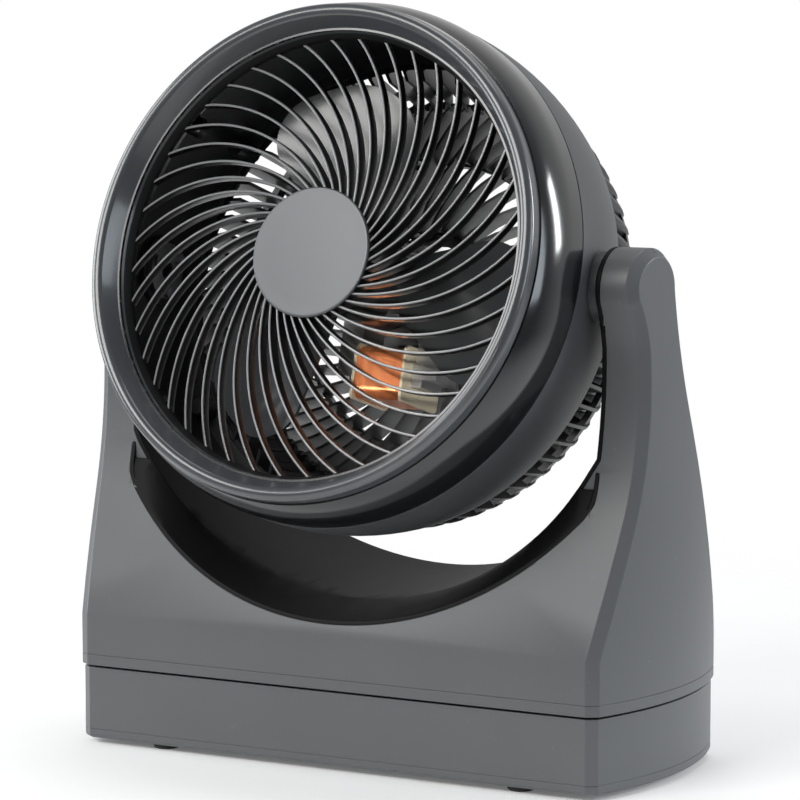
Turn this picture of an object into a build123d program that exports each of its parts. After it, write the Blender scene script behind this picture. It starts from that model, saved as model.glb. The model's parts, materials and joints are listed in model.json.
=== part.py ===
from build123d import *
import os
from math import atan, cos, degrees, radians, sin, sqrt, tan

# Air circulator fan. The front looks along -Y, +Z is up, and the origin lies on the floor
# under the middle of the base. All lengths are in millimetres, all angles in degrees.
os.makedirs("parts", exist_ok=True)

# Footprint of base and stand
front_depth = 70.4
rear_depth = 72.0
side_reach = 167.0
side_radius = 193.0
edge_chamfer = 4.5
base_step = 1.3

# Levels above the floor
plate_bottom = 3.0
plate_seam = 8.0
deck_top = 41.5
tray_bottom = 42.8
shell_bottom = 48.5
front_crease = 71.0

# Walls and clearances
base_wall = 2.6
stand_wall = 2.4
drum_wall = 2.4
deck_thickness = 3.0
slide_gap = 0.05
run_gap = 0.05
part_gap = 0.4

# Side view of the arms
lean_top = 140.0
lean_rate = 0.3778
neck_back = -35.2
neck_height = 182.0
neck_top = 222.0
arm_head_radius = 20.5
rear_neck = 13.0
rear_neck_height = 192.0
rear_foot = 62.0
rear_foot_height = 91.0

# The U-shaped opening between the arms
opening_half = 138.0
opening_flare = 3.6
edge_radius = 180.0
edge_bottom = 78.9
edge_corner = 132.0
trough_radius = 158.0
trough_bottom = 86.0
trough_crease = -38.6
trough_slope = 3.1
trough_corner = 130.0

# Head: a drum tilted up about the pivot. Depths are measured back from the hub cap's front.
pivot_back = -24.5
pivot_height = 252.0
tilt = 15.7
pivot_depth = 62.8

# Front grille
hub_radius = 33.7
hub_depth = 12.0
cap_thickness = 1.6
ring_bore = 113.3
ring_flank_depth = 9.4
ring_crest = 124.1
ring_front = -10.2
ring_crest_round = 2.0
ring_outer = 128.2
ring_shoulder_depth = -4.6
ring_wall = 2.2
ring_back = 12.0
ring_rim_depth = 2.6
bar_count = 44
bar_width = 1.5
bar_depth = 7.0
bar_rim_depth = 10.2
bar_sweep = 52.6
bar_mid_radius = 71.3
bar_mid_sweep = 29.8
bar_phase = 2.6
ring_boss_reach = 123.8
ring_boss_length = 6.2
ring_screw_bite = 5.0

# Drum shells
seam_lug_reach = 128.6
seam_lug_radius = 5.5
seam_lug_length = 6.0
seam_boss_length = 16.0
rear_lug_reach = 123.6
rear_boss_length = 16.0
shell_lip = 129.0
shell_radius = 135.2
shell_crown = 24.0
seam_depth = 36.2
seam_groove = 0.5
mid_bulge = 134.8
mid_bulge_depth = 64.0
mid_rear_radius = 130.3
mid_rear_depth = 88.0
ledge_thickness = 3.0

# Rear grille
fin_count = 70
fin_width = 1.9
fin_depth = 5.0
fin_rim_radius = 128.4
rear_depth_end = 136.0
rear_corner_radius = 119.0
rear_corner_depth = 130.0
rear_disc_radius = 40.0
rear_ring_radius = 78.0

# Impeller
blade_count = 3
blade_tip = 103.0
blade_span = 58.0
blade_twist = 10.0
blade_thickness = 2.2
blade_depth = 55.0
blade_camber = 2.0
blade_start = 104.5
blade_root = 21.0
blade_heel = 8.0
fore_corner = 24.0
aft_corner = 32.0
spinner_radius = 25.0
spinner_front = 42.0
spinner_back = 79.0
spinner_nut = 9.0
nut_height = 7.0

# Motor
shaft_radius = 3.0
rotor_radius = 15.0
air_gap = 0.4
stack_front = 92.0
stack_depth = 22.0
stator_half = 30.0
stator_top = 24.0
stator_bottom = -51.0
leg_top = -39.0
coil_half = 14.0
coil_build = 8.0
flange_thickness = 1.5
motor_bolt_reach = 24.0
bearing_radius = 7.0
bearing_length = 6.0
bracket_thickness = 2.0
bracket_standoff = 4.0
motor_bolt_bite = 12.0
window_half = 17.0
window_top = -21.0
bobbin_wall = 1.2
shaft_front = 37.0
shaft_end_gap = 0.8

# Speed switch and knob
bush_thread = 5.0
switch_half = 13.0
switch_depth = 8.0
knob_radius = 15.0
knob_height = 14.0
spindle_radius = 3.0

# Tilt pivots
trunnion_radius = 9.0
trunnion_flange = 15.0
trunnion_end = 153.0
bush_radius = 12.0
bush_face = 139.8
bush_length = 7.2
pad_radius = 18.0
pad_inner = 129.5
pad_outer = 139.4
trunnion_screw_reach = 11.6
clip_thickness = 1.6
clip_reach = 148.2
clip_bore = 7.2
trunnion_plate = 3.0
wire_bore = 5.0
pad_screw = 6.0

# Swing drive under the stand
turret_top = 49.0
turret_screw_reach = 10.0
turret_screw_length = 9.0
crank_well = 5.5
swing_ear = 28.0
glide_recess = 1.5
ear_thickness = 1.2
swing_shaft_sunk = 9.0
tray_post_x = 126.0
cover_seat = -4.0
cover_post_length = 40.0
cover_post_x = 152.5
cover_post_height = 215.0
turret_radius = 13.0
turret_bore = 7.0
crank_offset = 47.5
crank_throw = 28.3
crank_pin = 3.0
crank_slot_slack = 1.2
crank_thickness = 4.0
swing_motor_radius = 24.5
swing_motor_height = 14.0
swing_shaft_radius = 3.5
retainer_radius = 20.0
retainer_thickness = 2.0
glide_radius = 6.0
glide_reach = 60.0

# Screws, feet, grommet and rocker switch
screw_slot = 0.8
post_x = 128.0
post_y = 50.0
post_screw = 14.0
switch_body_length = 21.0
switch_body_width = 12.8
switch_body_depth = 14.0
switch_flange = 1.8
rocker_sink = 0.2
grommet_lip = 2.0
screw_radius = 1.5
screw_head = 3.2
screw_head_height = 2.2
screw_clearance = 0.2
boss_radius = 4.5
foot_radius = 7.0
foot_recess = 1.2
foot_x = 107.0
foot_y = 57.5
grommet_bore = 3.5
grommet_groove = 5.5
grommet_flange = 8.0
grommet_x = -70.0
service_height = 24.0
rocker_x = 70.0
rocker_length = 16.0
rocker_width = 9.0
rocker_throw = 7.0
rocker_wall = 1.4

# Values worked out from those above
side_centre = side_reach - side_radius
front_half = side_centre + sqrt(side_radius**2 - front_depth**2)
rear_half = side_centre + sqrt(side_radius**2 - rear_depth**2)
lean = degrees(atan(lean_rate))
lean_end = -front_depth + (lean_top - front_crease) * lean_rate
screw_hole = screw_radius + screw_clearance
foot_places = [(x, y) for x in (-foot_x, foot_x) for y in (-foot_y, foot_y)]
pivot = Vector(0, pivot_back, pivot_height)
forward = Vector(0, -cos(radians(tilt)), sin(radians(tilt)))
up = Vector(0, sin(radians(tilt)), cos(radians(tilt)))
nose = pivot + forward * pivot_depth
drum_axis = Axis(nose, forward)
section = Plane(origin=nose, x_dir=(1, 0, 0), z_dir=up)
stack_back = stack_front + stack_depth
front_bracket_front = stack_front - bracket_standoff - bracket_thickness
rear_bracket_back = stack_back + bracket_standoff + bracket_thickness
shaft_back = stack_back + bracket_standoff + bearing_length + shaft_end_gap
cover_posts = [(x, cover_post_height) for x in (-cover_post_x, cover_post_x)]


def facing(depth):
    """Plane across the drum, looking forward, at a depth behind the hub cap's front."""
    return Plane(origin=nose - forward * depth, x_dir=(1, 0, 0), z_dir=forward)


def facing_back(depth):
    """Plane across the drum, looking backward."""
    return Plane(origin=nose - forward * depth, x_dir=(1, 0, 0), z_dir=-forward)


def trunnion_plane(side, reach):
    """Plane square to the tilt axis, looking outward on the given side."""
    return Plane(origin=(side * reach, pivot_back, pivot_height), x_dir=(0, 1, 0),
                 z_dir=(side, 0, 0))


def depth_plane(depth, toward):
    """Plane across the drum at a depth, looking forward (1) or backward (-1)."""
    return facing(depth) if toward > 0 else facing_back(depth)


def bobbin_plane(x):
    """Plane across the coil's leg at a place along it, with its first axis along the drum."""
    middle = (stack_front + stack_back) / 2
    centre = nose - forward * middle + up * ((leg_top + stator_bottom) / 2)
    return Plane(origin=centre + Vector(x, 0, 0), x_dir=forward, z_dir=(1, 0, 0))


def finish(piece, name):
    """Name a finished piece and write it to its own file."""
    piece.part.label = name
    export_step(piece.part, f"parts/{name}.step")


# ---------------------------------------------------------------- shared outlines
def footprint(inset=0.0, chamfered=True):
    """Outline of base and stand from above, drawn in by the inset."""
    with BuildSketch() as outline:
        with BuildLine():
            Line((-front_half, -front_depth), (front_half, -front_depth))
            ThreePointArc((front_half, -front_depth), (side_reach, 0), (rear_half, rear_depth))
            Line((rear_half, rear_depth), (-rear_half, rear_depth))
            ThreePointArc((-rear_half, rear_depth), (-side_reach, 0), (-front_half, -front_depth))
        make_face()
        if chamfered:
            chamfer(outline.vertices(), edge_chamfer)
        if inset:
            offset(amount=-inset, kind=Kind.INTERSECTION)
    return outline.sketch


def side_view(inset=0.0):
    """Outline of the arms seen from the side, drawn in by the inset and open below the shell."""
    flare_angle = radians(20)
    flare = (pivot_back - arm_head_radius * cos(flare_angle),
             pivot_height - arm_head_radius * sin(flare_angle))
    foot = shell_bottom - 20
    with BuildSketch() as outline:
        with BuildLine():
            Polyline((rear_depth, foot), (-front_depth, foot), (-front_depth, front_crease),
                     (lean_end, lean_top))
            ThreePointArc((lean_end, lean_top), (neck_back, neck_height), (neck_back, neck_top))
            ThreePointArc((neck_back, neck_top), (neck_back - 3.4, neck_top + 12), flare)
            ThreePointArc(flare, (pivot_back, pivot_height + arm_head_radius),
                          (pivot_back + arm_head_radius, pivot_height))
            ThreePointArc((pivot_back + arm_head_radius, pivot_height),
                          (rear_neck - 12.7, rear_neck_height + 38), (rear_neck, rear_neck_height))
            Line((rear_neck, rear_neck_height), (rear_foot, rear_foot_height))
            ThreePointArc((rear_foot, rear_foot_height), (rear_depth - 2, 71), (rear_depth, 52))
            Line((rear_depth, 52), (rear_depth, foot))
        make_face()
        if inset:
            offset(amount=-inset, kind=Kind.INTERSECTION)
    return outline.sketch


def stand_block(inset=0.0, edge=0.0):
    """Solid within the footprint and the side view, from the shell's lower edge up."""
    with BuildPart() as block:
        with BuildSketch(Plane.XY.offset(shell_bottom)):
            add(footprint(inset, chamfered=False))
        extrude(amount=pivot_height)
        with BuildSketch(Plane.YZ):
            add(side_view(inset))
        extrude(amount=side_reach, both=True, mode=Mode.INTERSECT)
        if edge:
            rim = block.edges().filter_by(lambda e: abs(e.center().X) > opening_half)
            chamfer(rim.filter_by(lambda e: e.center().Z > shell_bottom + 1), edge)
    return block.part


def arm_opening(grow=0.0):
    """The U-shaped opening: a sloping lip in front, a trough behind and the gap for the drum."""
    lean_plane = Plane(origin=(0, -front_depth, front_crease), x_dir=(1, 0, 0),
                       z_dir=(0, -cos(radians(lean)), sin(radians(lean))))
    crease_plane = Plane(origin=(0, trough_crease, trough_bottom), x_dir=(1, 0, 0),
                         z_dir=(0, -1, 0))
    rearward = (0, cos(radians(trough_slope)), sin(radians(trough_slope)))
    edge_rise = edge_radius - sqrt(edge_radius**2 - edge_corner**2)
    corner_height = edge_bottom + edge_rise
    top_height = corner_height + 15.3
    top_half = opening_half + opening_flare
    along = 1 / cos(radians(lean))
    trough_rise = trough_radius - sqrt(trough_radius**2 - trough_corner**2)
    wall_rise = trough_radius - sqrt(trough_radius**2 - opening_half**2)
    with BuildPart() as opening:
        with BuildSketch(lean_plane) as lip:
            with BuildLine():
                high = (top_height - front_crease) * along
                low = (corner_height - front_crease) * along
                mid = (corner_height + 6.6 - front_crease) * along
                ThreePointArc((-edge_corner, low), (0, (edge_bottom - front_crease) * along),
                              (edge_corner, low))
                ThreePointArc((edge_corner, low), (opening_half - 1.6, mid), (opening_half, high))
                Line((opening_half, high), (-opening_half, high))
                ThreePointArc((-opening_half, high), (1.6 - opening_half, mid), (-edge_corner, low))
            make_face()
            if grow:
                offset(amount=grow)
        with BuildSketch(crease_plane):
            with BuildLine():
                ThreePointArc((-trough_corner, trough_rise), (0, 0), (trough_corner, trough_rise))
                Polyline((trough_corner, trough_rise), (opening_half, trough_rise + 0.6),
                         (-opening_half, trough_rise + 0.6), (-trough_corner, trough_rise))
            make_face()
            if grow:
                offset(amount=grow)
        loft(ruled=True)
        extrude(lip.sketch, amount=8)
        with BuildSketch(crease_plane):
            with BuildLine():
                ThreePointArc((-opening_half, wall_rise), (0, 0), (opening_half, wall_rise))
                Polyline((opening_half, wall_rise), (top_half, 200), (-top_half, 200),
                         (-opening_half, wall_rise))
            make_face()
            if grow:
                offset(amount=grow)
        extrude(amount=rear_depth + 60, dir=rearward)
        with BuildSketch(Plane.XZ.offset(front_depth + 10)):
            with BuildLine():
                Polyline((-opening_half, top_height), (opening_half, top_height),
                         (top_half, trough_bottom + 200), (-top_half, trough_bottom + 200),
                         close=True)
            make_face()
            if grow:
                offset(amount=grow)
        extrude(amount=-(front_depth + 10 + trough_crease))
    return opening.part


def screw(seat, length):
    """Pan-head screw whose head sits on the plane and whose shank runs against its normal."""
    with BuildPart() as one:
        with BuildSketch(seat):
            Circle(screw_head)
        extrude(amount=screw_head_height)
        with BuildSketch(seat):
            Circle(screw_radius)
        extrude(amount=-length)
        with BuildSketch(seat.offset(screw_head_height)):
            Rectangle(screw_head * 1.1, screw_slot)
            Rectangle(screw_slot, screw_head * 1.1)
        extrude(amount=-screw_slot, mode=Mode.SUBTRACT)
    return one.part


def export_group(pieces, name):
    """Write equal pieces to one file as separate solids."""
    group = Compound(children=pieces)
    group.label = name
    export_step(group, f"parts/{name}.step")


def moved(plane, x, y):
    """The same plane with its origin moved within itself."""
    return Plane(origin=plane.from_local_coords((x, y, 0)), x_dir=plane.x_dir, z_dir=plane.z_dir)


def looking_down(x, y, z):
    """Plane at a place, facing the floor."""
    return Plane(origin=(x, y, z), x_dir=(1, 0, 0), z_dir=(0, 0, -1))


def around(plane, reach, angles):
    """Planes set round a circle on the given plane."""
    return [moved(plane, reach * cos(radians(a)), reach * sin(radians(a))) for a in angles]


# ---------------------------------------------------------------- base
rear_wall = rear_depth - base_step
well_floor = deck_top - crank_well
well_radius = crank_throw + crank_pin + 1.6
motor_top = well_floor - deck_thickness
plate_posts = [(x, y) for x in (-post_x, post_x) for y in (-post_y, post_y)]
glide_angles = (50, 130, 180, 230, 310)
plate_inner = plate_bottom + base_wall

with BuildPart() as base_plate:
    with BuildSketch(Plane.XY.offset(plate_bottom)):
        add(footprint(base_step))
    extrude(amount=plate_seam - plate_bottom)
    fillet(base_plate.edges().group_by(Axis.Z)[0], base_wall - 0.4)
    with BuildSketch(Plane.XY.offset(plate_inner)):
        add(footprint(base_step + base_wall))
    extrude(amount=plate_seam, mode=Mode.SUBTRACT)
    with BuildSketch(Plane.XY.offset(plate_inner)):
        with Locations(*plate_posts):
            Circle(boss_radius + base_wall)
    extrude(amount=plate_seam - plate_inner)
    with BuildSketch(Plane.XY.offset(plate_bottom)):
        with Locations(*plate_posts):
            Circle(screw_head + part_gap)
    extrude(amount=screw_head_height + part_gap, mode=Mode.SUBTRACT)
    with BuildSketch(Plane.XY.offset(plate_bottom)):
        with Locations(*plate_posts):
            Circle(screw_hole)
    extrude(amount=plate_seam, mode=Mode.SUBTRACT)
    with BuildSketch(Plane.XY.offset(plate_bottom)):
        with Locations(*foot_places):
            Circle(foot_radius)
    extrude(amount=foot_recess, mode=Mode.SUBTRACT)
finish(base_plate, "base_plate")

with BuildPart() as foot:
    with BuildSketch():
        Circle(foot_radius)
    extrude(amount=plate_bottom + foot_recess)
    chamfer(foot.edges().group_by(Axis.Z)[0], 0.8)
export_group([foot.part.moved(Location((x, y, 0))) for x, y in foot_places], "rubber_feet")

with BuildPart() as base_housing:
    with BuildSketch(Plane.XY.offset(plate_seam)):
        add(footprint(base_step))
    extrude(amount=deck_top - plate_seam)
    with BuildSketch(Plane.XY.offset(plate_seam)):
        add(footprint(base_step + base_wall))
    extrude(amount=deck_top - deck_thickness - plate_seam, mode=Mode.SUBTRACT)
    # Posts for the plate's screws
    with BuildSketch(Plane.XY.offset(plate_seam)):
        with Locations(*plate_posts):
            Circle(boss_radius)
    extrude(amount=deck_top - deck_thickness - plate_seam)
    # Round well for the crank, and the turret that the stand turns on
    with BuildSketch(Plane.XY.offset(motor_top)):
        with Locations((crank_offset, 0)):
            Circle(well_radius + base_wall)
    extrude(amount=deck_top - motor_top)
    with BuildSketch(Plane.XY.offset(well_floor)):
        with Locations((crank_offset, 0)):
            Circle(well_radius)
    extrude(amount=crank_well, mode=Mode.SUBTRACT)
    with BuildSketch(Plane.XY.offset(deck_top - deck_thickness)):
        Circle(turret_radius)
    extrude(amount=turret_top - deck_top + deck_thickness)
    with BuildSketch(Plane.XY.offset(motor_top)):
        Circle(turret_bore)
    extrude(amount=turret_top, mode=Mode.SUBTRACT)
    with BuildSketch(Plane.XY.offset(motor_top)):
        with Locations((crank_offset, 0)):
            Circle(swing_shaft_radius + part_gap)
        with Locations((crank_offset, swing_ear), (crank_offset, -swing_ear)):
            Circle(screw_radius)
    extrude(amount=deck_thickness, mode=Mode.SUBTRACT)
    with BuildSketch(Plane.XY.offset(turret_top)):
        with PolarLocations(turret_screw_reach, 3, start_angle=90):
            Circle(screw_radius)
    extrude(amount=-turret_screw_length, mode=Mode.SUBTRACT)
    with BuildSketch(Plane.XY.offset(deck_top)):
        with Locations(*[p.origin for p in around(Plane.XY, glide_reach, glide_angles)]):
            Circle(glide_radius)
    extrude(amount=-glide_recess, mode=Mode.SUBTRACT)
    with BuildSketch(Plane.XY.offset(plate_seam)):
        with Locations(*plate_posts):
            Circle(screw_radius)
    extrude(amount=post_screw, mode=Mode.SUBTRACT)
    # Rear wall: cord grommet hole and the window of the swing switch
    with BuildSketch(Plane.XZ.offset(-rear_wall - 1)):
        with Locations((grommet_x, service_height)):
            Circle(grommet_groove)
        with Locations((rocker_x, service_height)):
            Rectangle(switch_body_length, switch_body_width)
    extrude(amount=base_wall + 2, mode=Mode.SUBTRACT)
finish(base_housing, "base_housing")

plate_screw_seat = plate_bottom + screw_head_height + part_gap
export_group([screw(looking_down(x, y, plate_screw_seat), post_screw)
              for x, y in plate_posts], "plate_screws")

with BuildPart() as glide:
    with BuildSketch(Plane.XY.offset(deck_top - glide_recess)):
        Circle(glide_radius)
    extrude(amount=tray_bottom - deck_top + glide_recess - slide_gap)
export_group([glide.part.moved(Location(p.origin))
              for p in around(Plane.XY, glide_reach, glide_angles)], "glide_pads")

with BuildPart() as swing_motor:
    with BuildSketch(Plane.XY.offset(motor_top)):
        with Locations((crank_offset, 0)):
            Circle(swing_motor_radius)
    extrude(amount=-swing_motor_height)
    fillet(swing_motor.edges().group_by(Axis.Z)[0], 1.5)
    with BuildSketch(Plane.XY.offset(motor_top)):
        with Locations((crank_offset, 0)):
            SlotCenterToCenter(2 * swing_ear, 2 * screw_head + 1, rotation=90)
    extrude(amount=-ear_thickness)
    with BuildSketch(Plane.XY.offset(motor_top)):
        with Locations((crank_offset, 0)):
            Circle(swing_shaft_radius + run_gap)
        with Locations((crank_offset, swing_ear), (crank_offset, -swing_ear)):
            Circle(screw_hole)
    extrude(amount=-swing_shaft_sunk - 1, mode=Mode.SUBTRACT)
finish(swing_motor, "swing_motor")

ear_seat = motor_top - ear_thickness
export_group([screw(looking_down(crank_offset, y, ear_seat), ear_thickness + deck_thickness - 0.2)
              for y in (-swing_ear, swing_ear)], "swing_motor_screws")

with BuildPart() as swivel_retainer:
    with BuildSketch(Plane.XY.offset(turret_top)):
        Circle(retainer_radius)
        Circle(turret_bore, mode=Mode.SUBTRACT)
        with PolarLocations(turret_screw_reach, 3, start_angle=90):
            Circle(screw_hole, mode=Mode.SUBTRACT)
    extrude(amount=retainer_thickness)
finish(swivel_retainer, "swivel_retainer")
retainer_seat = Plane.XY.offset(turret_top + retainer_thickness)
export_group([screw(seat, turret_screw_length) for seat in
              around(retainer_seat, turret_screw_reach, (90, 210, 330))], "retainer_screws")

with BuildPart() as cord_grommet:
    with BuildSketch(Plane.XZ.offset(-rear_wall - grommet_lip)):
        with Locations((grommet_x, service_height)):
            Circle(grommet_flange)
    extrude(amount=grommet_lip)
    chamfer(cord_grommet.edges().group_by(Axis.Y)[-1], 0.6)
    with BuildSketch(Plane.XZ.offset(-rear_wall)):
        with Locations((grommet_x, service_height)):
            Circle(grommet_groove)
    extrude(amount=base_wall)
    with BuildSketch(Plane.XZ.offset(base_wall - rear_wall)):
        with Locations((grommet_x, service_height)):
            Circle(grommet_flange - 1)
    extrude(amount=grommet_lip)
    with BuildSketch(Plane.XZ.offset(-rear_wall - grommet_lip)):
        with Locations((grommet_x, service_height)):
            Circle(grommet_bore)
    extrude(amount=base_wall + 2 * grommet_lip, mode=Mode.SUBTRACT)
finish(cord_grommet, "cord_grommet")

# Swing switch: a rocker between two side walls, turning on an upright pin
rocker_pin = (rocker_x, rear_wall - rocker_sink)
switch_face = rear_wall + switch_flange
with BuildPart() as swing_switch:
    with BuildSketch(Plane.XZ.offset(-switch_face)):
        with Locations((rocker_x, service_height)):
            RectangleRounded(switch_body_length + 3, switch_body_width + 3, 1.5)
    extrude(amount=switch_flange)
    with BuildSketch(Plane.XZ.offset(-rear_wall)):
        with Locations((rocker_x, service_height)):
            Rectangle(switch_body_length, switch_body_width)
    extrude(amount=switch_body_depth)
    with BuildSketch(Plane.XZ.offset(-switch_face)):
        with Locations((rocker_x, service_height)):
            Rectangle(rocker_length + 2, rocker_width + 2 * part_gap)
    extrude(amount=switch_flange + rocker_sink + 4.4, mode=Mode.SUBTRACT)
    with BuildSketch(Plane.XY.offset(service_height)):
        with Locations(rocker_pin):
            Circle(1 + run_gap)
    extrude(amount=switch_body_width / 2, both=True, mode=Mode.SUBTRACT)
    # Two spade terminals at the back
    with BuildSketch(Plane.XZ.offset(switch_body_depth - rear_wall)):
        with Locations((rocker_x - 5, service_height), (rocker_x + 5, service_height)):
            Rectangle(0.8, 6.3)
    extrude(amount=7)
finish(swing_switch, "swing_switch")

half = rocker_length / 2
with BuildPart() as swing_rocker:
    rocker_plane = Plane(origin=(*rocker_pin, service_height)).rotated((0, 0, -rocker_throw))
    with BuildSketch(rocker_plane):
        with BuildLine():
            Polyline((-half, 4.6), (0, 3.4), (half, 4.6), (half, 0.6), (3, -3), (-3, -3),
                     (-half, 0.6), close=True)
        make_face()
    extrude(amount=rocker_width / 2, both=True)
    with BuildSketch(rocker_plane):
        Circle(1)
    extrude(amount=rocker_width / 2 + 1.2, both=True)
finish(swing_rocker, "swing_rocker")

# ---------------------------------------------------------------- crank
arm_bottom = well_floor + 0.6
with BuildPart() as swing_crank:
    with BuildSketch(Plane.XY.offset(arm_bottom)):
        with Locations((crank_offset, 0)):
            Circle(swing_shaft_radius + 3.5)
        with Locations((crank_offset + crank_throw, 0)):
            Circle(crank_pin + 1.6)
        make_hull()
        with Locations((crank_offset, 0)):
            Circle(swing_shaft_radius, mode=Mode.SUBTRACT)
    extrude(amount=crank_thickness)
    with BuildSketch(Plane.XY.offset(arm_bottom)):
        with Locations((crank_offset + crank_throw, 0)):
            Circle(crank_pin)
    extrude(amount=turret_top - 1.5 - arm_bottom)
    chamfer(swing_crank.edges().group_by(Axis.Z)[-1], 0.5)
finish(swing_crank, "swing_crank")

with BuildPart() as swing_shaft:
    with BuildSketch(Plane.XY.offset(motor_top - swing_shaft_sunk)):
        with Locations((crank_offset, 0)):
            Circle(swing_shaft_radius)
    extrude(amount=arm_bottom + crank_thickness - motor_top + swing_shaft_sunk)
finish(swing_shaft, "swing_shaft")

# ---------------------------------------------------------------- stand
block = stand_block(edge=edge_chamfer)
inner_edge = edge_chamfer - (2 - sqrt(2)) * stand_wall
inner_block = stand_block(stand_wall, inner_edge)
opening = arm_opening()
opening_grown = arm_opening(stand_wall)
tray_floor = tray_bottom + deck_thickness
tray_posts = [(x, y) for x in (-tray_post_x, tray_post_x)
              for y in (stand_wall - front_depth + 4, rear_depth - stand_wall - 4)]
tray_hub_top = turret_top - 2 * slide_gap

with BuildPart() as stand_tray:
    with BuildSketch(Plane.XY.offset(tray_bottom)):
        add(footprint())
    extrude(amount=shell_bottom - tray_bottom)
    with BuildSketch(Plane.XY.offset(tray_floor)):
        add(footprint(stand_wall))
    extrude(amount=shell_bottom, mode=Mode.SUBTRACT)
    with BuildSketch(Plane.XY.offset(tray_floor)):
        with Locations(*tray_posts):
            Circle(boss_radius + 1)
    extrude(amount=shell_bottom - tray_floor)
    with BuildSketch(Plane.XY.offset(tray_bottom)):
        Circle(turret_radius + 4)
    extrude(amount=tray_hub_top - tray_bottom)
    with BuildSketch(Plane.XY.offset(tray_bottom)):
        Circle(turret_radius + run_gap)
        with Locations((crank_offset, 0)):
            SlotCenterToCenter(2 * crank_throw, 2 * (crank_pin + crank_slot_slack))
        with Locations(*tray_posts):
            Circle(screw_hole)
    extrude(amount=tray_hub_top, mode=Mode.SUBTRACT)
    with BuildSketch(Plane.XY.offset(tray_bottom)):
        with Locations(*tray_posts):
            Circle(screw_head + screw_clearance)
    extrude(amount=screw_head_height + part_gap, mode=Mode.SUBTRACT)
finish(stand_tray, "stand_tray")
tray_screw_seat = tray_bottom + screw_head_height + part_gap
export_group([screw(looking_down(x, y, tray_screw_seat), post_screw)
              for x, y in tray_posts], "tray_screws")

with BuildPart() as stand_front:
    add(block)
    add(inner_block, mode=Mode.SUBTRACT)
    with BuildSketch(Plane.XY.offset(shell_bottom)):
        add(footprint(stand_wall))
        with Locations((0, pivot_back)):
            Rectangle(2 * side_reach, 2 * side_reach, align=(Align.CENTER, Align.MIN),
                      mode=Mode.INTERSECT)
    extrude(amount=pivot_height, mode=Mode.SUBTRACT)
    with BuildSketch(Plane.XY.offset(shell_bottom)):
        with Locations(*tray_posts[::2]):
            Circle(boss_radius)
    extrude(amount=post_screw)
    with BuildSketch(Plane.XZ.offset(-cover_seat)):
        with Locations(*cover_posts):
            Circle(boss_radius)
    extrude(amount=cover_post_length)
    add(opening_grown, mode=Mode.SUBTRACT)
    add(block, mode=Mode.INTERSECT)
    with BuildSketch(Plane.XY.offset(shell_bottom)):
        with Locations(*tray_posts[::2]):
            Circle(screw_radius)
    extrude(amount=post_screw - 1, mode=Mode.SUBTRACT)
    with BuildSketch(Plane.XZ.offset(-cover_seat)):
        with Locations(*cover_posts):
            Circle(screw_radius)
    extrude(amount=post_screw, mode=Mode.SUBTRACT)
finish(stand_front, "stand_front")

with BuildPart() as stand_rear:
    with BuildSketch(Plane.YZ):
        add(side_view())
        add(side_view(stand_wall), mode=Mode.SUBTRACT)
        with Locations((pivot_back, shell_bottom)):
            Rectangle(2 * rear_depth, pivot_height, align=(Align.MIN, Align.MIN),
                      mode=Mode.INTERSECT)
    extrude(amount=side_reach, both=True)
    with BuildSketch(Plane.XY.offset(shell_bottom)):
        with Locations(*tray_posts[1::2]):
            Circle(boss_radius)
    extrude(amount=post_screw)
    with BuildSketch(Plane.XZ.offset(-cover_seat)):
        with Locations(*cover_posts):
            Circle(boss_radius)
    extrude(amount=-rear_depth)
    add(stand_block(), mode=Mode.INTERSECT)
    with BuildSketch(Plane.XY.offset(shell_bottom)):
        add(footprint(stand_wall))
    extrude(amount=pivot_height, mode=Mode.INTERSECT)
    add(block, mode=Mode.INTERSECT)
    add(opening_grown, mode=Mode.SUBTRACT)
    with BuildSketch(Plane.XY.offset(shell_bottom)):
        with Locations(*tray_posts[1::2]):
            Circle(screw_radius)
    extrude(amount=post_screw - 1, mode=Mode.SUBTRACT)
    with BuildSketch(Plane.XZ.offset(-cover_seat)):
        with Locations(*cover_posts):
            Circle(screw_hole)
    extrude(amount=-rear_depth, mode=Mode.SUBTRACT)
    with BuildSketch(Plane.XZ.offset(-cover_seat - stand_wall)):
        with Locations(*cover_posts):
            Circle(screw_head + screw_clearance)
    extrude(amount=-rear_depth, mode=Mode.SUBTRACT)
finish(stand_rear, "stand_rear")
cover_planes = [Plane(origin=(x, cover_seat + stand_wall, z), x_dir=(-1, 0, 0), z_dir=(0, 1, 0))
                for x, z in cover_posts]
export_group([screw(seat, post_screw) for seat in cover_planes], "cover_screws")

with BuildPart() as stand_liner:
    add(block)
    add(opening_grown, mode=Mode.INTERSECT)
    for side in (-1, 1):
        with BuildSketch(Plane(origin=(side * bush_face, pivot_back, pivot_height),
                               x_dir=(0, 1, 0), z_dir=(side, 0, 0))):
            Circle(bush_radius + stand_wall)
        extrude(amount=bush_length)
    add(opening, mode=Mode.SUBTRACT)
    for side in (-1, 1):
        with BuildSketch(Plane(origin=(side * bush_face, pivot_back, pivot_height),
                               x_dir=(0, 1, 0), z_dir=(side, 0, 0))) as bore:
            Circle(bush_radius + stand_wall)
            Circle(bush_radius, mode=Mode.SUBTRACT)
        extrude(amount=bush_length)
        with BuildSketch(Plane(origin=(0, pivot_back, pivot_height),
                               x_dir=(0, 1, 0), z_dir=(side, 0, 0))):
            Circle(bush_radius)
        extrude(amount=trunnion_end, mode=Mode.SUBTRACT)
finish(stand_liner, "stand_liner")

# ---------------------------------------------------------------- front grille
flank_slope = (ring_crest - ring_bore) / (ring_flank_depth - ring_front)
flank_back = (ring_bore + (ring_flank_depth - ring_rim_depth) * flank_slope
              + ring_wall * sqrt(1 + flank_slope ** 2))
ledge_bore = flank_back + part_gap
far_back = ring_back + 20

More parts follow.
